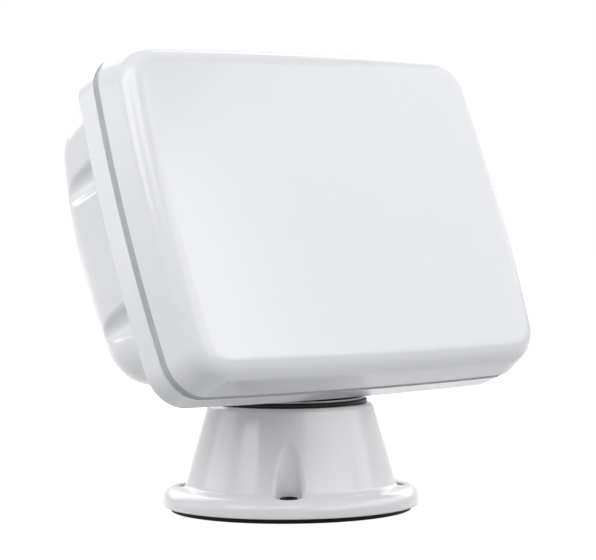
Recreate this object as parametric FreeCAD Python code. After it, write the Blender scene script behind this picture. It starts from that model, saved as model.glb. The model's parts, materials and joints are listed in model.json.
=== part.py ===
import FreeCAD, Part
import math
import os

# Marine instrument pod: a blank two-shell housing, tilted back on a round pedestal that
# lets it swivel. Millimetres. +Z is up, the pod looks towards -Y, and the origin is the
# centre of the deck bolt circle on the underside of the deck gasket.
# Pod sizes are in the pod's own frame: X across, Y into its depth from the plane where
# the front shell meets the seal, Z up its face.

# --- clearances -------------------------------------------------------------------
RUN_GAP = 0.3          # between faces that turn past each other
SHAFT_GAP = 0.05       # radial, turning hub in its bush
FIT_GAP = 0.1          # radial, parts seated in holes
SLIP_GAP = 0.3         # around the locating tongue and other loose fits

# --- pod outline ------------------------------------------------------------------
POD_WIDTH = 335.7
POD_HEIGHT = 249.4
POD_TILT = 21.2        # degrees, lean of the face back from upright
POD_FORWARD = 31.4     # seal plane in front of the swivel axis
POD_LIFT = 8.94        # lower end of the seal plane above the pod's seat on the swivel
SIDE_BOW = 6.2         # outward bow of the left and right sides
TOP_BOW = 2.4          # outward bow of the top and bottom
CORNER_R = 27.5
SHELL_WALL = 3.0

# --- front shell ------------------------------------------------------------------
FRONT_DEPTH = 29.2
FRONT_DRAFT = 11.8     # degrees
FACE_R = 14.8

# --- seal between the shells --------------------------------------------------------
SEAL_DEPTH = 6.5
SEAL_INSET = 0.8       # seal face below the shells' outer faces
SEAL_LIP = 1.2         # thin lip against the front shell
SEAL_LIP_INSET = 3.0
SEAL_INNER = 5.5       # inner edge of the seal from the outline
RIM_LAND = 4.0         # thickened rim that carries the seal

# --- rear shell -------------------------------------------------------------------
FLANGE_DEPTH = 18.4
FLANGE_EDGE_R = 1.0
TONGUE_WALL = 2.5
TONGUE_REACH = 3.0     # tongue into the front shell
REAR_STEP_SIDE = 7.7
REAR_STEP_TOP = 8.7
REAR_STEP_BOTTOM = 23.2
REAR_DEPTH = 90.3      # behind the flange
REAR_DRAFT = 7.4       # degrees
BACK_R = 60.8          # rounding of the back edge
BACK_STEPS = 9         # sections through that rounding
BACK_SIDE_STEPS = 4    # sections along the drafted sides
REAR_CORNER_R = 28.7
BACK_CORNER_R = 22.0
REAR_SIDE_BOW = 10.2
REAR_TOP_BOW = 3.3
REAR_ROOT = 2.0        # rear body set into the flange

# --- shell screws, two each side, in channels down the rear body ------------------------
SCREW_FROM_TOP = 74.2  # upper screws below the top of the pod
SCREW_FROM_BOTTOM = 70.2
SCREW_INSET = 11.9     # from the side of the pod
CHANNEL_R = 10.2
CHANNEL_OUT = 1.6      # channel axis outside the screw
CHANNEL_EDGE_R = 5.0   # soft edge where a channel breaks out
BOSS_R = 5.5
SCREW_R = 2.5
SCREW_HOLE_R = 2.75
SCREW_HEAD_H = 3.2
SCREW_HEAD_PROFILE = ((4.6, 0.0), (4.6, 1.3), (3.7, 2.7), (2.3, 3.2))   # radius, height
SCREW_SOCKET = 3.0     # across flats
SCREW_SOCKET_DEPTH = 1.9
SCREW_PIN_R = 0.6
SCREW_LENGTH = 30.0
WASHER_R = 5.2
WASHER_H = 1.0
INSERT_R = 3.5
INSERT_LENGTH = 9.0
INSERT_GROOVE = 0.4
INSERT_GROOVE_W = 1.0

# --- deck gasket and pedestal ---------------------------------------------------------
GASKET_H = 3.6
GASKET_INSET = 6.0     # edge of the gasket inside the edge of the pedestal
GASKET_OPENING_R = 58.0
DECK_R = 92.4
FLANGE_H = 14.4        # foot of the cone above the gasket
FLANGE_FALL = 10.8     # degrees, fall of the flange's top face
FLANGE_ROUND_R = 8.3
FLANGE_REACH = 16.1    # flange beyond the foot of the cone
CONE_TOP_R = 59.1
PEDESTAL_H = 72.8
CONE_TOP_EDGE_R = 4.0
CONE_FOOT_FILLET = 2.5
PEDESTAL_WALL = 5.0
PEDESTAL_TOP_WALL = 8.0
PEDESTAL_EDGE_R = 1.0

# --- deck bolts -----------------------------------------------------------------------
BOLT_COUNT = 4
BOLT_TURN = 48.2       # degrees, first bolt from +X towards +Y
BOLT_INSET = 18.4      # bolt circle inside the edge of the pedestal
BOLT_SEAT_H = 10.9     # bolt seat above the gasket
NICHE_R = 8.4
NICHE_EDGE_R = 3.8
NICHE_WALL = 3.5
BOLT_HOLE_R = 5.5
BOLT_BORE_R = 4.2      # clearance for an M8 bolt through the grommet
GROMMET_COLLAR_R = 6.2
GROMMET_COLLAR_H = 2.0
GROMMET_EDGE_R = 0.6

# --- swivel ---------------------------------------------------------------------------
DISC_R = 55.2
DISC_H = 3.1
DISC_EDGE_R = 0.8
POD_PLATE_R = 53.5     # light plate under the pod, which slides on the disc
POD_PLATE_H = 1.0
POD_GASKET_R = 52.0
POD_GASKET_H = 1.2
PAD_R = 51.5           # round pad of the rear shell on its gasket
PAD_FLOOR = 6.0
PAD_WALL = 4.0
PAD_REACH = 45.0       # pad walls up into the rear shell
HUB_R = 20.0
HUB_BORE_R = 15.0
HUB_FLANGE_R = 37.0
HUB_FLANGE_H = 5.0
BUSH_WALL = 4.0
BUSH_FLANGE_R = 29.0
BUSH_FLANGE_H = 2.0
COLLAR_R = 33.0        # collar that carries the bush under the pedestal's top
COLLAR_DROP = 10.0
THRUST_R = 31.0
THRUST_H = 2.0
KEYED_R = 30.0
KEYED_H = 2.5
KEY_WIDTH = 4.0
KEY_DEPTH = 1.5
SPRING_R = 29.0
SPRING_T = 1.5
SPRING_CONE = 1.2
NUT_R = 28.0
NUT_H = 10.0
NUT_SLOTS = 6
NUT_SLOT_WIDTH = 5.0
NUT_SLOT_DEPTH = 3.0
NUT_CHAMFER = 1.2
HUB_TAIL = 4.0         # hub below the lock nut
GRUB_R = 2.0
GRUB_SOCKET = 2.0
GRUB_SOCKET_DEPTH = 2.0

# --- turning stop ---------------------------------------------------------------------
STOP_PIN_R = 2.5
STOP_CIRCLE_R = 44.0
STOP_SLOT_GAP = 0.5
STOP_SLOT_DEPTH = 3.4
STOP_PIN_IN = 5.5
STOP_LAND = 22.0       # degrees of the ring left uncut at the front

# --- hub fixing -----------------------------------------------------------------------
PLATE_R = 47.0
PLATE_H = 3.0
HUB_SCREW_COUNT = 6
HUB_SCREW_CIRCLE_R = 31.0
HUB_SCREW_HEAD_R = 4.25
HUB_SCREW_HEAD_H = 5.0
HUB_SCREW_SOCKET = 4.0
HUB_SCREW_SOCKET_DEPTH = 2.5
HUB_SCREW_TIP_GAP = 1.0
HUB_WASHER_R = 5.0
HUB_INSERT_LENGTH = 5.0
ORING_R = 24.5
ORING_SECTION_R = 1.4
ORING_GROOVE_GAP = 0.15
CABLE_R = 10.0
CABLE_COLLAR_R = 18.5
CABLE_COLLAR_H = 3.0
CABLE_PLUG_DEPTH = 6.0

# --- places that follow from the sizes --------------------------------------------------
PEDESTAL_TOP_Z = GASKET_H + PEDESTAL_H
DISC_TOP_Z = PEDESTAL_TOP_Z + DISC_H
POD_PLATE_Z = DISC_TOP_Z + RUN_GAP
POD_GASKET_Z = POD_PLATE_Z + POD_PLATE_H
PAD_Z = POD_GASKET_Z + POD_GASKET_H
PLATE_Z = PAD_Z + PAD_FLOOR
HUB_FLANGE_Z = PLATE_Z + PLATE_H
HUB_TOP_Z = HUB_FLANGE_Z + HUB_FLANGE_H
COLLAR_Z = PEDESTAL_TOP_Z - PEDESTAL_TOP_WALL - COLLAR_DROP
THRUST_Z = COLLAR_Z - THRUST_H
KEYED_Z = THRUST_Z - RUN_GAP - KEYED_H
SPRING_Z = KEYED_Z - SPRING_T - SPRING_CONE
NUT_Z = SPRING_Z - NUT_H
HUB_TAIL_Z = NUT_Z - HUB_TAIL
BOLT_SEAT_Z = GASKET_H + BOLT_SEAT_H
FLANGE_BACK = SEAL_DEPTH + FLANGE_DEPTH
REAR_START = FLANGE_BACK - REAR_ROOT
BACK_DEPTH = REAR_DEPTH + REAR_ROOT
POD_RISE = POD_HEIGHT / 2 * math.cos(math.radians(POD_TILT)) + POD_LIFT
GASKET_R = DECK_R - GASKET_INSET
CONE_FOOT_R = DECK_R - FLANGE_REACH
BOLT_CIRCLE_R = DECK_R - BOLT_INSET
TONGUE_OUTER = SEAL_INNER + SLIP_GAP
TONGUE_INNER = TONGUE_OUTER + TONGUE_WALL
CUT = 1.0              # how far a cutting tool runs past a face
NEAR = 0.01            # closeness when an edge is picked by its place


# --- plain helpers --------------------------------------------------------------------
def vec(x, y, z):
    return FreeCAD.Vector(x, y, z)


def in_pod(shape):
    """Carry a shape from the pod's own frame to its tilted place over the swivel."""
    placed = shape.copy()
    tilt = FreeCAD.Rotation(vec(1, 0, 0), -POD_TILT)
    seat = FreeCAD.Placement(vec(0, -POD_FORWARD, PAD_Z + POD_RISE), tilt)
    placed.Placement = seat.multiply(placed.Placement)
    return placed


def disc(radius, z, height, x=0, y=0):
    return Part.makeCylinder(radius, height, vec(x, y, z))


def ring(inner, outer, z, height):
    return disc(outer, z, height).cut(disc(inner, z - CUT, height + 2 * CUT))


def turned(points):
    """Solid of revolution about Z from (radius, z) points."""
    corners = [vec(r, 0, z) for r, z in points]
    face = Part.Face(Part.makePolygon(corners + corners[:1]))
    return face.revolve(vec(0, 0, 0), vec(0, 0, 1), 360)


def along_y(radius, x, z, start, end):
    return Part.makeCylinder(radius, end - start, vec(x, start, z), vec(0, 1, 0))


def hexagon(across_flats, height):
    """Hexagonal prism along +Z from the origin."""
    r = across_flats / math.sqrt(3)
    turns = [math.radians(60 * i) for i in range(6)]
    corners = [vec(r * math.cos(t), r * math.sin(t), 0) for t in turns]
    return Part.Face(Part.makePolygon(corners + corners[:1])).extrude(vec(0, 0, height))


def around(shape, count, first=0.0):
    """Copies of a shape spaced evenly about the swivel axis."""
    copies = []
    for i in range(count):
        one = shape.copy()
        one.rotate(vec(0, 0, 0), vec(0, 0, 1), first + 360.0 * i / count)
        copies.append(one)
    return copies


def circle_edges(shape, radius, z):
    """Full circles about the Z axis of the given radius and height."""
    found = []
    for edge in shape.Edges:
        curve = edge.Curve
        if not isinstance(curve, Part.Circle):
            continue
        if abs(curve.Radius - radius) < NEAR and abs(curve.Center.z - z) < NEAR:
            found.append(edge)
    return found


# --- outlines of the pod -----------------------------------------------------------------
def arc_about(cx, cz, radius, start, end, y):
    def at(turn):
        return vec(cx + radius * math.cos(turn), y, cz + radius * math.sin(turn))
    return Part.Arc(at(start), at((start + end) / 2), at(end)).toShape()


def bowed_outline(width, height, side_bow, top_bow, corner_r, y, mid_z=0.0):
    """Closed outline of four bowed sides joined by tangent corner arcs."""
    a, b = width / 2, height / 2
    side_r = (b * b + side_bow ** 2) / (2 * side_bow)
    top_r = (a * a + top_bow ** 2) / (2 * top_bow)
    side_c, top_c = a - side_r, b - top_r
    reach_side, reach_top = side_r - corner_r, top_r - corner_r
    span = math.hypot(side_c, top_c)
    along = (reach_side ** 2 - reach_top ** 2 + span ** 2) / (2 * span)
    off = math.sqrt(reach_side ** 2 - along ** 2)
    ux, uz = -side_c / span, top_c / span
    corner_x = side_c + ux * along - uz * off
    corner_z = uz * along + ux * off
    if corner_x < 0 or corner_z < 0:
        corner_x = side_c + ux * along + uz * off
        corner_z = uz * along - ux * off
    side_turn = math.atan2(corner_z, corner_x - side_c)
    top_turn = math.atan2(corner_z - top_c, corner_x)
    quarter, half = math.pi / 2, math.pi
    edges = [
        arc_about(side_c, mid_z, side_r, -side_turn, side_turn, y),
        arc_about(corner_x, mid_z + corner_z, corner_r, side_turn, top_turn, y),
        arc_about(0, mid_z + top_c, top_r, top_turn, half - top_turn, y),
        arc_about(-corner_x, mid_z + corner_z, corner_r, half - top_turn, half - side_turn, y),
        arc_about(-side_c, mid_z, side_r, half - side_turn, half + side_turn, y),
        arc_about(-corner_x, mid_z - corner_z, corner_r, half + side_turn, half + top_turn, y),
        arc_about(0, mid_z - top_c, top_r, half + top_turn, 4 * quarter - top_turn, y),
        arc_about(corner_x, mid_z - corner_z, corner_r, -top_turn, -side_turn, y),
    ]
    return Part.Wire(edges)


def shell_outline(inset, y):
    """Outline shared by the front shell, seal and flange, moved in by inset."""
    corner = max(CORNER_R - inset, 1.0)
    return bowed_outline(POD_WIDTH - 2 * inset, POD_HEIGHT - 2 * inset, SIDE_BOW, TOP_BOW, corner, y)


def slab(inset, start, end):
    return Part.Face(shell_outline(inset, start)).extrude(vec(0, end - start, 0))


def band(outer_inset, inner_inset, start, end):
    return slab(outer_inset, start, end).cut(slab(inner_inset, start - CUT, end + CUT))


def front_form(inset, depth, edge_r):
    """Drafted block with a rounded face, from the seal plane forwards."""
    lean = math.tan(math.radians(FRONT_DRAFT)) * depth
    base = shell_outline(inset, 0)
    corner = max(CORNER_R - inset, 1.0)
    width = POD_WIDTH - 2 * (inset + lean)
    height = POD_HEIGHT - 2 * (inset + lean)
    face = bowed_outline(width, height, SIDE_BOW, TOP_BOW, corner, -depth)
    block = Part.makeLoft([base, face], True, True)
    rim = [e for e in block.Edges if abs(e.BoundBox.YMin + depth) < NEAR and e.BoundBox.YLength < NEAR]
    return block.makeFillet(edge_r, rim)


def rear_section(inset, depth, back_inset):
    width = POD_WIDTH - 2 * REAR_STEP_SIDE - 2 * inset
    high = POD_HEIGHT / 2 - REAR_STEP_TOP - inset
    low = -POD_HEIGHT / 2 + REAR_STEP_BOTTOM + inset
    corner = REAR_CORNER_R + (BACK_CORNER_R - REAR_CORNER_R) * inset / back_inset
    return bowed_outline(width, high - low, REAR_SIDE_BOW, REAR_TOP_BOW, corner, depth, (high + low) / 2)


def rear_form(inset, depth, edge_r, root=0.0):
    """Rear body: drafted sides, from root in front of its start, that run into a rounded back."""
    draft = math.radians(REAR_DRAFT)
    centre = depth - edge_r
    centre_inset = inset + centre * math.tan(draft) + edge_r / math.cos(draft)
    straight = centre + edge_r * math.sin(draft)
    levels = []
    for i in range(BACK_SIDE_STEPS):
        reach = (straight + root) * i / BACK_SIDE_STEPS - root
        levels.append((inset + reach * math.tan(draft), reach))
    for i in range(BACK_STEPS + 1):
        turn = draft + (math.pi / 2 - draft) * i / BACK_STEPS
        levels.append((centre_inset - edge_r * math.cos(turn), centre + edge_r * math.sin(turn)))
    wires = [rear_section(level, REAR_START + reach, centre_inset) for level, reach in levels]
    return Part.makeLoft(wires, True, False)


# --- shells -----------------------------------------------------------------------------
def half_width(z):
    """Half the width of the bowed outline at a height from its middle."""
    bow_r = (POD_HEIGHT ** 2 / 4 + SIDE_BOW ** 2) / (2 * SIDE_BOW)
    return POD_WIDTH / 2 - bow_r + math.sqrt(bow_r ** 2 - z ** 2)


def screw_places():
    heights = (POD_HEIGHT / 2 - SCREW_FROM_TOP, SCREW_FROM_BOTTOM - POD_HEIGHT / 2)
    return [(side * (half_width(z) - SCREW_INSET), z) for side in (-1, 1) for z in heights]


def channel_tool(radius, x, z, start):
    """Cylinder of a screw channel, its seam on the side away from the pod."""
    side = math.copysign(1, x)
    axis = x + side * CHANNEL_OUT
    tool = along_y(radius, axis, z, start, FLANGE_BACK + REAR_DEPTH)
    tool.rotate(vec(axis, 0, z), vec(0, 1, 0), 90 * side)
    return tool


def channel_edges(shape):
    """Edges along which the screw channels break out through the sides."""
    found = []
    for edge in shape.Edges:
        middle = edge.valueAt((edge.FirstParameter + edge.LastParameter) / 2)
        for x, z in screw_places():
            axis = x + math.copysign(CHANNEL_OUT, x)
            off = math.hypot(middle.x - axis, middle.z - z)
            if abs(off - CHANNEL_R) < NEAR and edge.BoundBox.YMax > FLANGE_BACK + NEAR:
                found.append(edge)
    return found


def front_shell():
    depth = FRONT_DEPTH
    wall = SHELL_WALL
    shell = front_form(0, depth, FACE_R)
    cavity = front_form(wall, depth - wall, FACE_R - wall)
    cavity = cavity.cut(band(wall - CUT, SEAL_INNER, -RIM_LAND, CUT))
    shell = shell.cut(cavity)
    inside = front_form(wall / 2, depth - wall / 2, FACE_R - wall / 2)
    for x, z in screw_places():
        shell = shell.fuse(along_y(BOSS_R, x, z, -depth, 0).common(inside))
        shell = shell.fuse(along_y(BOSS_R, x, z, -RIM_LAND, SEAL_DEPTH))
    for x, z in screw_places():
        shell = shell.cut(along_y(INSERT_R + FIT_GAP, x, z, SEAL_DEPTH - INSERT_LENGTH, SEAL_DEPTH + CUT))
        tip = SEAL_DEPTH + FLANGE_DEPTH + WASHER_H - SCREW_LENGTH - CUT
        shell = shell.cut(along_y(SCREW_HOLE_R, x, z, tip, SEAL_DEPTH))
    return in_pod(shell.removeSplitter())


def shell_seal():
    body = band(SEAL_INSET, SEAL_INNER, SEAL_LIP, SEAL_DEPTH)
    lip = band(SEAL_LIP_INSET, SEAL_INNER, 0, SEAL_LIP)
    return in_pod(body.fuse(lip).removeSplitter())


def flange_part():
    """Flange band of the rear shell with its rim, tongue and screw bosses."""
    wall = SHELL_WALL
    flange = slab(0, SEAL_DEPTH, FLANGE_BACK)
    back = [e for e in flange.Edges
            if abs(e.BoundBox.YMin - FLANGE_BACK) < NEAR and e.BoundBox.YLength < NEAR]
    flange = flange.makeFillet(FLANGE_EDGE_R, back)
    rim_end = SEAL_DEPTH + RIM_LAND
    flange = flange.cut(slab(TONGUE_INNER, SEAL_DEPTH - CUT, rim_end + CUT))
    flange = flange.cut(slab(wall, rim_end, FLANGE_BACK - wall))
    tongue = band(TONGUE_OUTER, TONGUE_INNER, -TONGUE_REACH, SEAL_DEPTH + CUT)
    for x, z in screw_places():
        tongue = tongue.cut(along_y(BOSS_R + SLIP_GAP, x, z, -TONGUE_REACH - CUT, SEAL_DEPTH))
    flange = flange.fuse(tongue)
    for x, z in screw_places():
        flange = flange.fuse(along_y(BOSS_R, x, z, SEAL_DEPTH, FLANGE_BACK))
    return flange


def behind_flange():
    """Space in which the pad stands, from inside the flange's rear wall backwards."""
    reach = POD_WIDTH
    return Part.makeBox(2 * reach, reach, 2 * reach, vec(-reach, FLANGE_BACK - SHELL_WALL / 3, -reach))


def rear_shell():
    wall = SHELL_WALL
    body = rear_form(0, BACK_DEPTH, BACK_R)
    cavity = rear_form(wall, BACK_DEPTH - wall, BACK_R - wall, 2 * wall)
    for x, z in screw_places():
        body = body.cut(channel_tool(CHANNEL_R, x, z, FLANGE_BACK))
        cavity = cavity.cut(channel_tool(CHANNEL_R + wall, x, z, 0))
    body = body.makeFillet(CHANNEL_EDGE_R, channel_edges(body))
    flange = flange_part().cut(cavity)
    space = in_pod(behind_flange())
    pad = disc(PAD_R, PAD_Z, PAD_REACH).common(space)
    well = disc(PAD_R - PAD_WALL, PLATE_Z, PAD_REACH - PAD_FLOOR).common(space)
    shell = in_pod(body).fuse(pad).cut(in_pod(cavity)).cut(well)
    shell = shell.fuse(in_pod(flange))
    for x, z in screw_places():
        shell = shell.cut(in_pod(along_y(SCREW_HOLE_R, x, z, SEAL_DEPTH - CUT, FLANGE_BACK + CUT)))
    shell = shell.cut(disc(HUB_R + SLIP_GAP, PAD_Z - CUT, PAD_FLOOR + 2 * CUT))
    for hole in hub_insert_holes():
        shell = shell.cut(hole)
    shell = shell.cut(disc(STOP_PIN_R + SHAFT_GAP, PAD_Z - CUT, STOP_PIN_IN + CUT, 0, STOP_CIRCLE_R))
    return shell.removeSplitter()


def hub_insert_holes():
    z = PLATE_Z - HUB_INSERT_LENGTH
    hole = disc(INSERT_R + FIT_GAP, z, HUB_INSERT_LENGTH + CUT, HUB_SCREW_CIRCLE_R)
    return around(hole, HUB_SCREW_COUNT)


# --- shell fixings ------------------------------------------------------------------------
def shell_screw():
    """Pan head screw along +Z, head base at the origin, with a pinned hexagon socket."""
    h = SCREW_HEAD_H
    head = turned([(0, 0)] + list(SCREW_HEAD_PROFILE) + [(0, h)])
    socket = hexagon(SCREW_SOCKET, SCREW_SOCKET_DEPTH + CUT)
    socket.translate(vec(0, 0, h - SCREW_SOCKET_DEPTH))
    socket = socket.cut(disc(SCREW_PIN_R, h - SCREW_SOCKET_DEPTH, SCREW_SOCKET_DEPTH))
    tip = SCREW_R / 2
    shank = turned([(0, CUT), (SCREW_R, CUT), (SCREW_R, tip - SCREW_LENGTH), (SCREW_R - tip, -SCREW_LENGTH),
                    (0, -SCREW_LENGTH)])
    return head.fuse(shank).cut(socket).removeSplitter()


def facing_back(shape, x, y, z):
    """Turn a +Z shape to look towards the pod's back and set it at a place in the pod."""
    placed = shape.copy()
    placed.rotate(vec(0, 0, 0), vec(1, 0, 0), -90)
    placed.translate(vec(x, y, z))
    return in_pod(placed)


def shell_screws():
    seat = FLANGE_BACK + WASHER_H
    return [facing_back(shell_screw(), x, seat, z) for x, z in screw_places()]


def screw_washer():
    return ring(SCREW_HOLE_R, WASHER_R, 0, WASHER_H)


def shell_screw_washers():
    return [facing_back(screw_washer(), x, FLANGE_BACK, z) for x, z in screw_places()]


def insert(length):
    """Threaded bush from z = 0 up, with a groove round its middle."""
    outer, half = INSERT_R, INSERT_GROOVE_W / 2
    low, high = length / 2 - half, length / 2 + half
    inner = SCREW_R + SHAFT_GAP
    waist = outer - INSERT_GROOVE
    return turned([(inner, 0), (outer, 0), (outer, low), (waist, low), (waist, high), (outer, high),
                   (outer, length), (inner, length)])


def shell_inserts():
    start = SEAL_DEPTH - INSERT_LENGTH
    return [facing_back(insert(INSERT_LENGTH), x, start, z) for x, z in screw_places()]


# --- pedestal --------------------------------------------------------------------------------
def at_bolts(radius, z, height):
    """Cylinders on the axes of the deck bolts, their seams on the outer side."""
    return around(disc(radius, z, height, BOLT_CIRCLE_R), BOLT_COUNT, BOLT_TURN)


def cut_all(shape, tools):
    for tool in tools:
        shape = shape.cut(tool)
    return shape


def cone_radius(z):
    foot = GASKET_H + FLANGE_H
    share = (z - foot) / (PEDESTAL_TOP_Z - foot)
    return CONE_FOOT_R + (CONE_TOP_R - CONE_FOOT_R) * share


def pedestal_outside():
    foot = GASKET_H + FLANGE_H
    edge = foot - (DECK_R - CONE_FOOT_R) * math.tan(math.radians(FLANGE_FALL))
    body = turned([(0, GASKET_H), (DECK_R, GASKET_H), (DECK_R, edge), (CONE_FOOT_R, foot),
                   (CONE_TOP_R, PEDESTAL_TOP_Z), (0, PEDESTAL_TOP_Z)])
    body = body.makeFillet(FLANGE_ROUND_R, circle_edges(body, DECK_R, edge))
    body = body.makeFillet(CONE_TOP_EDGE_R, circle_edges(body, CONE_TOP_R, PEDESTAL_TOP_Z))
    body = body.makeFillet(CONE_FOOT_FILLET, circle_edges(body, CONE_FOOT_R, foot))
    return body.makeFillet(PEDESTAL_EDGE_R, circle_edges(body, DECK_R, GASKET_H))


def pedestal_hollow():
    wall = PEDESTAL_WALL
    roof = PEDESTAL_TOP_Z - PEDESTAL_TOP_WALL
    hollow = turned([(0, GASKET_H - CUT), (cone_radius(GASKET_H) - wall, GASKET_H - CUT),
                     (cone_radius(roof) - wall, roof), (0, roof)])
    hollow = cut_all(hollow, at_bolts(NICHE_R + NICHE_WALL, 0, PEDESTAL_TOP_Z))
    return hollow.cut(disc(COLLAR_R, COLLAR_Z, PEDESTAL_TOP_Z))


def stop_ring(floor, height):
    """Arc-shaped groove for the stop pin, open all round but for a land at the front."""
    reach = STOP_PIN_R + STOP_SLOT_GAP
    groove = ring(STOP_CIRCLE_R - reach, STOP_CIRCLE_R + reach, floor, height)
    half = math.radians(STOP_LAND / 2)
    far = 2 * STOP_CIRCLE_R
    corners = [vec(0, 0, floor - CUT), vec(-far * math.sin(half), -far * math.cos(half), floor - CUT),
               vec(far * math.sin(half), -far * math.cos(half), floor - CUT)]
    land = Part.Face(Part.makePolygon(corners + corners[:1])).extrude(vec(0, 0, height + 2 * CUT))
    return groove.cut(land)


def niche_edges(shape):
    """Edges where the bolt niches break out through the cone and the flange."""
    found = []
    for edge in shape.Edges:
        middle = edge.valueAt((edge.FirstParameter + edge.LastParameter) / 2)
        turn = math.degrees(math.atan2(middle.y, middle.x)) - BOLT_TURN
        turn = math.radians(turn - round(turn * BOLT_COUNT / 360) * 360 / BOLT_COUNT)
        reach = math.hypot(middle.x, middle.y)
        off = math.hypot(reach * math.cos(turn) - BOLT_CIRCLE_R, reach * math.sin(turn))
        on_wall = abs(off - NICHE_R) < NEAR and middle.z > BOLT_SEAT_Z + NEAR
        if on_wall and not isinstance(edge.Curve, Part.Line):
            found.append(edge)
    return found


def pedestal_base():
    base = cut_all(pedestal_outside(), at_bolts(NICHE_R, BOLT_SEAT_Z, PEDESTAL_H))
    base = base.makeFillet(NICHE_EDGE_R, niche_edges(base)).cut(pedestal_hollow())
    base = cut_all(base, at_bolts(BOLT_HOLE_R, 0, BOLT_SEAT_Z + CUT))
    bush_r = HUB_R + SHAFT_GAP + BUSH_WALL
    base = base.cut(disc(bush_r + FIT_GAP, COLLAR_Z - CUT, PEDESTAL_H))
    flange_z = PEDESTAL_TOP_Z - BUSH_FLANGE_H
    base = base.cut(disc(BUSH_FLANGE_R + FIT_GAP, flange_z, BUSH_FLANGE_H + CUT))
    return base.cut(stop_ring(PEDESTAL_TOP_Z - STOP_SLOT_DEPTH, STOP_SLOT_DEPTH + CUT)).removeSplitter()


def deck_gasket():
    gasket = ring(GASKET_OPENING_R, GASKET_R, 0, GASKET_H)
    return cut_all(gasket, at_bolts(BOLT_BORE_R, -CUT, GASKET_H + 2 * CUT))


def bolt_grommets():
    """Rubber sleeve in each bolt hole, with a collar on the bolt seat."""
    collar = disc(GROMMET_COLLAR_R, BOLT_SEAT_Z, GROMMET_COLLAR_H)
    top = circle_edges(collar, GROMMET_COLLAR_R, BOLT_SEAT_Z + GROMMET_COLLAR_H)
    collar = collar.makeFillet(GROMMET_EDGE_R, top)
    sleeve = disc(BOLT_HOLE_R - FIT_GAP, GASKET_H, BOLT_SEAT_H + GROMMET_EDGE_R)
    bore = disc(BOLT_BORE_R, 0, BOLT_SEAT_Z + GROMMET_COLLAR_H + CUT)
    grommet = collar.fuse(sleeve).cut(bore).removeSplitter()
    grommet.translate(vec(BOLT_CIRCLE_R, 0, 0))
    return around(grommet, BOLT_COUNT, BOLT_TURN)


# --- swivel -----------------------------------------------------------------------------------
def swivel_disc():
    plate = disc(DISC_R, PEDESTAL_TOP_Z, DISC_H)
    rims = circle_edges(plate, DISC_R, DISC_TOP_Z) + circle_edges(plate, DISC_R, PEDESTAL_TOP_Z)
    plate = plate.makeFillet(DISC_EDGE_R, rims)
    plate = plate.cut(disc(HUB_R + SLIP_GAP, PEDESTAL_TOP_Z - CUT, DISC_H + 2 * CUT))
    return plate.cut(stop_ring(PEDESTAL_TOP_Z - CUT, DISC_H + 2 * CUT))


def under_pad(radius, z, height):
    """Ring between the disc and the pod's pad, with a hole for the stop pin."""
    pin_hole = disc(STOP_PIN_R + SHAFT_GAP, z - CUT, height + 2 * CUT, 0, STOP_CIRCLE_R)
    return ring(HUB_R + SLIP_GAP, radius, z, height).cut(pin_hole)


def pod_plate():
    return under_pad(POD_PLATE_R, POD_PLATE_Z, POD_PLATE_H)


def pod_gasket():
    return under_pad(POD_GASKET_R, POD_GASKET_Z, POD_GASKET_H)


def swivel_bush():
    inner = HUB_R + SHAFT_GAP
    outer = inner + BUSH_WALL
    low = PEDESTAL_TOP_Z - BUSH_FLANGE_H
    return turned([(inner, COLLAR_Z), (outer, COLLAR_Z), (outer, low), (BUSH_FLANGE_R, low),
                   (BUSH_FLANGE_R, PEDESTAL_TOP_Z), (inner, PEDESTAL_TOP_Z)])


def key_slot(depth, width, z, height):
    """Box across the hub's rear face, from its surface inwards by depth."""
    return Part.makeBox(width, depth + CUT, height, vec(-width / 2, HUB_R - depth, z))


def swivel_hub():
    """Hollow stud: flange inside the pod, tube down through the bush to the lock nut."""
    hub = turned([(HUB_BORE_R, HUB_TAIL_Z), (HUB_R, HUB_TAIL_Z), (HUB_R, HUB_FLANGE_Z),
                  (HUB_FLANGE_R, HUB_FLANGE_Z), (HUB_FLANGE_R, HUB_TOP_Z), (HUB_BORE_R, HUB_TOP_Z)])
    hub = hub.cut(key_slot(KEY_DEPTH, KEY_WIDTH, HUB_TAIL_Z - CUT, THRUST_Z - HUB_TAIL_Z + CUT))
    hole = disc(SCREW_HOLE_R, HUB_FLANGE_Z - CUT, HUB_FLANGE_H + 2 * CUT, HUB_SCREW_CIRCLE_R)
    for one in around(hole, HUB_SCREW_COUNT):
        hub = hub.cut(one)
    reach = ORING_SECTION_R + ORING_GROOVE_GAP
    groove = ring(ORING_R - reach, ORING_R + reach, HUB_FLANGE_Z - CUT, CUT + 2 * reach)
    return hub.cut(groove).removeSplitter()


def hub_oring():
    centre = vec(0, 0, HUB_FLANGE_Z + ORING_SECTION_R)
    return Part.makeTorus(ORING_R, ORING_SECTION_R, centre, vec(0, 0, 1))


def backing_plate():
    plate = ring(HUB_R + SLIP_GAP, PLATE_R, PLATE_Z, PLATE_H)
    hole = disc(SCREW_HOLE_R, PLATE_Z - CUT, PLATE_H + 2 * CUT, HUB_SCREW_CIRCLE_R)
    for one in around(hole, HUB_SCREW_COUNT):
        plate = plate.cut(one)
    return plate


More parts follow.
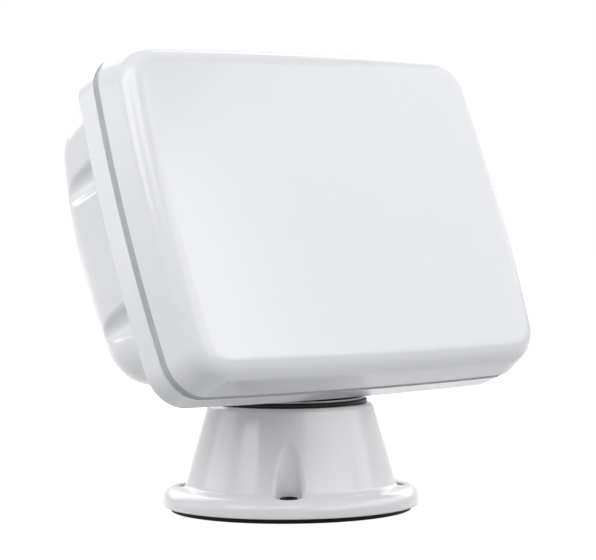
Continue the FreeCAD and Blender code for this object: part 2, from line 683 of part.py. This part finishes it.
def hub_screws():
    """Socket head screws through the hub flange and plate into the pad's inserts."""
    seat = HUB_TOP_Z + WASHER_H
    tip = PLATE_Z - HUB_INSERT_LENGTH + HUB_SCREW_TIP_GAP
    x = HUB_SCREW_CIRCLE_R
    screw = disc(HUB_SCREW_HEAD_R, seat, HUB_SCREW_HEAD_H, x).fuse(disc(SCREW_R, tip, seat + CUT - tip, x))
    socket = hexagon(HUB_SCREW_SOCKET, HUB_SCREW_SOCKET_DEPTH + CUT)
    socket.translate(vec(x, 0, seat + HUB_SCREW_HEAD_H - HUB_SCREW_SOCKET_DEPTH))
    return around(screw.cut(socket).removeSplitter(), HUB_SCREW_COUNT)


def hub_screw_washers():
    x = HUB_SCREW_CIRCLE_R
    washer = disc(HUB_WASHER_R, HUB_TOP_Z, WASHER_H, x)
    washer = washer.cut(disc(SCREW_HOLE_R, HUB_TOP_Z - CUT, WASHER_H + 2 * CUT, x))
    return around(washer, HUB_SCREW_COUNT)


def hub_inserts():
    bush = insert(HUB_INSERT_LENGTH)
    bush.translate(vec(HUB_SCREW_CIRCLE_R, 0, PLATE_Z - HUB_INSERT_LENGTH))
    return around(bush, HUB_SCREW_COUNT)


def thrust_washer():
    return ring(HUB_R + SLIP_GAP, THRUST_R, THRUST_Z, THRUST_H)


def keyed_washer():
    """Pressure washer that turns with the hub by a tab in its keyway."""
    tab = key_slot(KEY_DEPTH - FIT_GAP, KEY_WIDTH - 2 * FIT_GAP, KEYED_Z, KEYED_H)
    return ring(HUB_R + FIT_GAP, KEYED_R, KEYED_Z, KEYED_H).fuse(tab).removeSplitter()


def disc_spring():
    inner, rise = HUB_R + SLIP_GAP, SPRING_CONE
    return turned([(inner, SPRING_Z + rise), (SPRING_R, SPRING_Z), (SPRING_R, SPRING_Z + SPRING_T),
                   (inner, SPRING_Z + rise + SPRING_T)])


def grub_hole(radius, extra):
    """Radial hole through the lock nut towards the front, clear of its slots."""
    length = NUT_R - HUB_R + extra
    return Part.makeCylinder(radius, length, vec(0, -HUB_R, NUT_Z + NUT_H / 2), vec(0, -1, 0))


def lock_nut():
    inner, top = HUB_R + SHAFT_GAP, NUT_Z + NUT_H
    bevel = NUT_CHAMFER
    nut = turned([(inner, NUT_Z), (NUT_R - bevel, NUT_Z), (NUT_R, NUT_Z + bevel), (NUT_R, top - bevel),
                  (NUT_R - bevel, top), (inner, top)])
    slot = Part.makeBox(NUT_SLOT_DEPTH + CUT, NUT_SLOT_WIDTH, NUT_H + 2 * CUT,
                        vec(NUT_R - NUT_SLOT_DEPTH, -NUT_SLOT_WIDTH / 2, NUT_Z - CUT))
    for one in around(slot, NUT_SLOTS):
        nut = nut.cut(one)
    return nut.cut(grub_hole(GRUB_R + SHAFT_GAP, CUT)).removeSplitter()


def nut_grub_screw():
    """Set screw in the lock nut, tip just clear of the hub, socket outwards."""
    start = HUB_R + SHAFT_GAP
    grub = Part.makeCylinder(GRUB_R, NUT_R - start, vec(0, -start, NUT_Z + NUT_H / 2), vec(0, -1, 0))
    socket = hexagon(GRUB_SOCKET, GRUB_SOCKET_DEPTH + CUT)
    socket.rotate(vec(0, 0, 0), vec(1, 0, 0), 90)
    socket.translate(vec(0, -NUT_R + GRUB_SOCKET_DEPTH, NUT_Z + NUT_H / 2))
    return grub.cut(socket)


def cable_grommet():
    """Rubber grommet that lines the hub's upper mouth where the cables pass."""
    outer = HUB_BORE_R - FIT_GAP
    low, top = HUB_TOP_Z - CABLE_PLUG_DEPTH, HUB_TOP_Z + CABLE_COLLAR_H
    return turned([(CABLE_R, low), (outer, low), (outer, HUB_TOP_Z), (CABLE_COLLAR_R, HUB_TOP_Z),
                   (CABLE_COLLAR_R, top), (CABLE_R, top)])


def stop_pin():
    low = PEDESTAL_TOP_Z - STOP_SLOT_DEPTH + STOP_SLOT_GAP
    return disc(STOP_PIN_R, low, PAD_Z + STOP_PIN_IN - low, 0, STOP_CIRCLE_R)


# --- all the pieces --------------------------------------------------------------------------
PIECES = [
    front_shell, shell_seal, rear_shell, shell_screws, shell_screw_washers, shell_inserts,
    pedestal_base, deck_gasket, bolt_grommets, swivel_disc, pod_plate, pod_gasket, swivel_bush,
    swivel_hub, hub_oring, backing_plate, hub_screws, hub_screw_washers, hub_inserts,
    thrust_washer, keyed_washer, disc_spring, lock_nut, nut_grub_screw, cable_grommet, stop_pin,
]


def main():
    os.makedirs("parts", exist_ok=True)
    for piece in PIECES:
        made = piece()
        shape = Part.makeCompound(made) if isinstance(made, list) else made
        shape.exportStep("parts/" + piece.__name__ + ".step")
        box = shape.BoundBox
        print(piece.__name__, shape.isValid(), len(shape.Solids), round(shape.Volume),
              [round(v, 2) for v in (box.XMin, box.XMax, box.YMin, box.YMax, box.ZMin, box.ZMax)])


main()
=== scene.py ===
import json
import math

import bpy
from mathutils import Matrix, Quaternion, Vector

# Marine instrument pod on its swivel pedestal. The CAD nodes carry the shapes, in metres,
# and this script gives them their materials, the studio, the light and the camera.

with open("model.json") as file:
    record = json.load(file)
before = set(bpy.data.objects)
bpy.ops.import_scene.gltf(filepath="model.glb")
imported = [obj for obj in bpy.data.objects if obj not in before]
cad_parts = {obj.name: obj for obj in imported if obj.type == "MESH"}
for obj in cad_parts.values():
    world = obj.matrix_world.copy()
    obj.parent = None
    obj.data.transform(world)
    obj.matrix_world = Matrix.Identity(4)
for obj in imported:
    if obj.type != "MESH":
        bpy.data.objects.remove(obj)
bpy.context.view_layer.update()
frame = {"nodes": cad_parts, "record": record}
nodes = frame["nodes"]

# --- camera: the photograph's viewing angle ------------------------------------------------
CAMERA_TURN = -40.78       # degrees round from the pod's front, towards -X
CAMERA_RISE = 1.93         # degrees above the horizontal
CAMERA_ROLL = -0.49        # degrees
CAMERA_DISTANCE = 1.7469   # metres from the aim point
CAMERA_LENS = 146.85
AIM_SIDE = 0.00629         # aim point beside the swivel axis, seen from the camera
AIM_HEIGHT = 0.16429
SENSOR_WIDTH = 36          # millimetres
CLIP_END = 20              # metres


def direction(turn, rise):
    """The way out from the object: turn radians from its front (-Y), rise radians up."""
    across = math.cos(rise)
    return Vector((math.sin(turn) * across, -math.cos(turn) * across, math.sin(rise)))


def make_camera():
    turn = math.radians(CAMERA_TURN)
    back = direction(turn, math.radians(CAMERA_RISE))
    aim = Vector((AIM_SIDE * math.cos(turn), AIM_SIDE * math.sin(turn), AIM_HEIGHT))
    side = (-back).cross(Vector((0, 0, 1))).normalized()
    up = side.cross(-back)
    roll = math.radians(CAMERA_ROLL)
    right = side * math.cos(roll) + up * math.sin(roll)
    over = -side * math.sin(roll) + up * math.cos(roll)
    data = bpy.data.cameras.new("camera")
    data.sensor_width = SENSOR_WIDTH
    data.lens = CAMERA_LENS
    data.clip_end = CLIP_END
    camera = bpy.data.objects.new("camera", data)
    bpy.context.scene.collection.objects.link(camera)
    place = Matrix((right, over, back)).transposed().to_4x4()
    place.translation = aim + back * CAMERA_DISTANCE
    camera.matrix_world = place
    bpy.context.scene.camera = camera


# --- materials -------------------------------------------------------------------------------
class Finish:
    """A node material around one Principled shader, built from a few procedural layers.

    Noise scales are in cycles per metre, depths in metres.
    """

    def __init__(self, name, roughness, specular=0.5, metallic=0.0, coat=0.0, coat_roughness=0.1):
        self.material = bpy.data.materials.new(name)
        self.material.use_nodes = True
        self.tree = self.material.node_tree
        self.shader = self.tree.nodes["Principled BSDF"]
        self.shader.inputs["Metallic"].default_value = metallic
        self.shader.inputs["Specular IOR Level"].default_value = specular
        self.shader.inputs["Roughness"].default_value = roughness
        self.shader.inputs["Coat Weight"].default_value = coat
        self.shader.inputs["Coat Roughness"].default_value = coat_roughness
        self.place = self.add("ShaderNodeTexCoord").outputs["Object"]
        self.height = None

    def add(self, kind, **settings):
        node = self.tree.nodes.new(kind)
        for key, value in settings.items():
            setattr(node, key, value)
        return node

    def link(self, output, socket):
        self.tree.links.new(output, socket)

    def noise(self, scale, detail=3.0, stretch=None):
        node = self.add("ShaderNodeTexNoise")
        node.inputs["Scale"].default_value = scale
        node.inputs["Detail"].default_value = detail
        if stretch is None:
            self.link(self.place, node.inputs["Vector"])
        else:
            mapping = self.add("ShaderNodeMapping")
            mapping.inputs["Scale"].default_value = stretch
            self.link(self.place, mapping.inputs["Vector"])
            self.link(mapping.outputs["Vector"], node.inputs["Vector"])
        return node.outputs["Fac"]

    def spread(self, fac, low, high, near=0.35, far=0.65):
        node = self.add("ShaderNodeMapRange")
        node.inputs["From Min"].default_value = near
        node.inputs["From Max"].default_value = far
        node.inputs["To Min"].default_value = low
        node.inputs["To Max"].default_value = high
        self.link(fac, node.inputs["Value"])
        return node.outputs["Result"]

    def colour(self, fac, one, other, near=0.35, far=0.65):
        mix = self.add("ShaderNodeMix", data_type="RGBA")
        mix.inputs["A"].default_value = (*one, 1)
        mix.inputs["B"].default_value = (*other, 1)
        self.link(self.spread(fac, 0, 1, near, far), mix.inputs["Factor"])
        self.link(mix.outputs["Result"], self.shader.inputs["Base Color"])

    def rough(self, fac, low, high):
        self.link(self.spread(fac, low, high), self.shader.inputs["Roughness"])

    def bump(self, fac, depth):
        """One more layer of relief, its depth in metres."""
        node = self.add("ShaderNodeBump")
        node.inputs["Strength"].default_value = 1.0
        node.inputs["Distance"].default_value = depth
        self.link(fac, node.inputs["Height"])
        if self.height is not None:
            self.link(self.height, node.inputs["Normal"])
        self.height = node.outputs["Normal"]
        self.link(self.height, self.shader.inputs["Normal"])


ORANGE_PEEL = 0.00002      # metres, the relief on the gloss mouldings
RUBBER_GRAIN = 0.00003
TURNING_MARKS = 0.00002


def gloss_plastic(name, one, other):
    """Moulded gloss plastic: faint tone drift, slight orange peel, a hard clear surface."""
    made = Finish(name, 0.2, 0.4, coat=0.3, coat_roughness=0.09)
    made.colour(made.noise(7, 2), one, other, 0.2, 0.8)
    made.rough(made.noise(25, 4), 0.17, 0.22)
    made.bump(made.noise(150, 1), ORANGE_PEEL)
    return made.material


def soft_rubber(name, one, other, roughness, specular):
    """Moulded rubber: matt, with a dusty bloom and a fine grain."""
    made = Finish(name, roughness, specular)
    made.colour(made.noise(45, 6), one, other)
    made.rough(made.noise(220, 4), roughness - 0.06, roughness + 0.06)
    made.bump(made.noise(2600, 3), RUBBER_GRAIN)
    return made.material


def hard_plastic(name, one, other, roughness, specular):
    """Turned or moulded acetal and nylon, with faint turning marks."""
    made = Finish(name, roughness, specular)
    made.colour(made.noise(60, 4), one, other)
    made.rough(made.noise(300, 4, (1, 1, 4)), roughness - 0.05, roughness + 0.05)
    made.bump(made.noise(900, 2, (1, 1, 5)), TURNING_MARKS)
    return made.material


def metal(name, one, other, roughness, stretch):
    """Machined metal: fine lines along one way and a little cloudiness."""
    made = Finish(name, roughness, 0.5, metallic=1.0)
    made.colour(made.noise(80, 4), one, other)
    made.rough(made.noise(500, 4, stretch), roughness - 0.07, roughness + 0.09)
    made.bump(made.noise(1500, 3, stretch), TURNING_MARKS)
    return made.material


# slot: (kind, one colour, the other colour, the kind's own settings)
MATERIALS = {
    "shell_white": (gloss_plastic, (0.83, 0.84, 0.872), (0.855, 0.863, 0.892)),
    "pedestal_white": (gloss_plastic, (0.82, 0.82, 0.845), (0.845, 0.845, 0.868)),
    "seal_grey": (soft_rubber, (0.45, 0.47, 0.515), (0.50, 0.52, 0.565), 0.5, 0.3),
    "rubber_black": (soft_rubber, (0.008, 0.008, 0.010), (0.014, 0.014, 0.016), 0.6, 0.12),
    "disc_black": (hard_plastic, (0.007, 0.007, 0.008), (0.012, 0.012, 0.013), 0.36, 0.16),
    "acetal_white": (hard_plastic, (0.70, 0.69, 0.66), (0.76, 0.75, 0.72), 0.4, 0.4),
    "nylon_washer": (hard_plastic, (0.60, 0.58, 0.52), (0.68, 0.66, 0.60), 0.42, 0.4),
    "hub_aluminium": (metal, (0.70, 0.71, 0.73), (0.78, 0.79, 0.80), 0.32, (1, 1, 9)),
    "stainless": (metal, (0.58, 0.57, 0.55), (0.66, 0.65, 0.63), 0.28, (1, 1, 7)),
    "insert_brass": (metal, (0.66, 0.48, 0.22), (0.74, 0.56, 0.28), 0.3, (1, 1, 7)),
}


def dress_nodes():
    made = {slot: kind(slot, *settings) for slot, (kind, *settings) in MATERIALS.items()}
    for part in frame["record"]["subparts"]:
        mesh = nodes[part["node"]].data
        mesh.materials.clear()
        mesh.materials.append(made[part["material_slot"]])


# --- studio ------------------------------------------------------------------------------------
FLOOR_SIZE = 12.0
FLOOR_DROP = 0.0005        # metres below the gasket, so that the two don't share a plane
FLOOR_COLOUR = (0.50, 0.50, 0.50)
FLOOR_LIFT = 0.88          # added light that the camera sees on the floor round the object
FLOOR_FADE = (0.25, 1.1)   # metres from the object over which the floor turns plain white


def seen_directly(tree):
    """1 for what the camera, a reflection or glass sees, 0 for the light that falls on things."""
    path = tree.nodes.new("ShaderNodeLightPath")
    value = path.outputs["Is Camera Ray"]
    for name in ("Is Glossy Ray", "Is Transmission Ray"):
        both = tree.nodes.new("ShaderNodeMath")
        both.operation = "MAXIMUM"
        tree.links.new(value, both.inputs[0])
        tree.links.new(path.outputs[name], both.inputs[1])
        value = both.outputs[0]
    return value


def make_floor():
    half = FLOOR_SIZE / 2
    mesh = bpy.data.meshes.new("floor")
    corners = [(-half, -half, 0), (half, -half, 0), (half, half, 0), (-half, half, 0)]
    mesh.from_pydata(corners, [], [(0, 1, 2, 3)])
    floor = bpy.data.objects.new("floor", mesh)
    floor.location.z = -FLOOR_DROP
    bpy.context.scene.collection.objects.link(floor)
    material = bpy.data.materials.new("floor_white")
    material.use_nodes = True
    tree = material.node_tree
    shader = tree.nodes["Principled BSDF"]
    shader.inputs["Base Color"].default_value = (*FLOOR_COLOUR, 1)
    shader.inputs["Roughness"].default_value = 0.9
    shader.inputs["Specular IOR Level"].default_value = 0.1
    shader.inputs["Emission Color"].default_value = (1, 1, 1, 1)
    place = tree.nodes.new("ShaderNodeTexCoord")
    distance = tree.nodes.new("ShaderNodeVectorMath")
    distance.operation = "LENGTH"
    tree.links.new(place.outputs["Object"], distance.inputs[0])
    fade = tree.nodes.new("ShaderNodeMapRange")
    fade.interpolation_type = "SMOOTHSTEP"
    fade.inputs["From Min"].default_value, fade.inputs["From Max"].default_value = FLOOR_FADE
    fade.inputs["To Min"].default_value = FLOOR_LIFT
    tree.links.new(distance.outputs["Value"], fade.inputs["Value"])
    lift = tree.nodes.new("ShaderNodeMath")
    lift.operation = "MULTIPLY"
    tree.links.new(fade.outputs["Result"], lift.inputs[0])
    tree.links.new(seen_directly(tree), lift.inputs[1])
    tree.links.new(lift.outputs[0], shader.inputs["Emission Strength"])
    mesh.materials.append(material)


def make_world(strength):
    world = bpy.data.worlds.new("studio")
    bpy.context.scene.world = world
    world.use_nodes = True
    tree = world.node_tree
    level = tree.nodes.new("ShaderNodeMapRange")
    level.inputs["To Min"].default_value = strength
    level.inputs["To Max"].default_value = 1.0
    tree.links.new(seen_directly(tree), level.inputs["Value"])
    background = tree.nodes["Background"]
    background.inputs["Color"].default_value = (1, 1, 1, 1)
    tree.links.new(level.outputs["Result"], background.inputs["Strength"])


# name: (degrees right of the camera, degrees up, roll, distance, width, height, watts)
LIGHTS = {
    "right_panel": (52.5, 26, 17, 2.2, 2.4, 1.2, 19.5),
    "right_side": (101, 26, 17, 2.2, 1.6, 1.2, 10.5),
    "front_top": (-22, 49, 0, 2.0, 1.6, 1.0, 13.5),
    "left_strip": (-52, 29, 0, 2.0, 0.85, 0.75, 5.6),
    "left_fill": (-60, 34, 0, 2.2, 1.6, 1.2, 10.0),
    "left_side": (-94, 6, 0, 2.2, 1.2, 1.0, 5.0),
    "back_left": (-150, 28, 0, 2.2, 1.6, 1.4, 11.5),
    "back_right": (150, 28, 0, 2.2, 1.6, 1.4, 11.5),
}
UNSEEN_IN_GLOSS = ("left_fill",)    # lights the left side without glare on the gloss
LIGHT_AIM = Vector((0, 0, 0.16))
WORLD_STRENGTH = 0.04


def make_lights():
    for name, (right, up, roll, distance, width, height, watts) in LIGHTS.items():
        away = direction(math.radians(CAMERA_TURN + right), math.radians(up))
        data = bpy.data.lights.new(name, "AREA")
        data.shape = "RECTANGLE"
        data.size, data.size_y = width, height
        data.energy = watts
        light = bpy.data.objects.new(name, data)
        light.location = LIGHT_AIM + away * distance
        facing = away.to_track_quat("Z", "Y") @ Quaternion((0, 0, 1), math.radians(roll))
        light.rotation_euler = facing.to_euler()
        light.visible_glossy = name not in UNSEEN_IN_GLOSS
        bpy.context.scene.collection.objects.link(light)


make_camera()
dress_nodes()
make_floor()
make_world(WORLD_STRENGTH)
make_lights()
bpy.context.scene.view_settings.view_transform = "Standard"
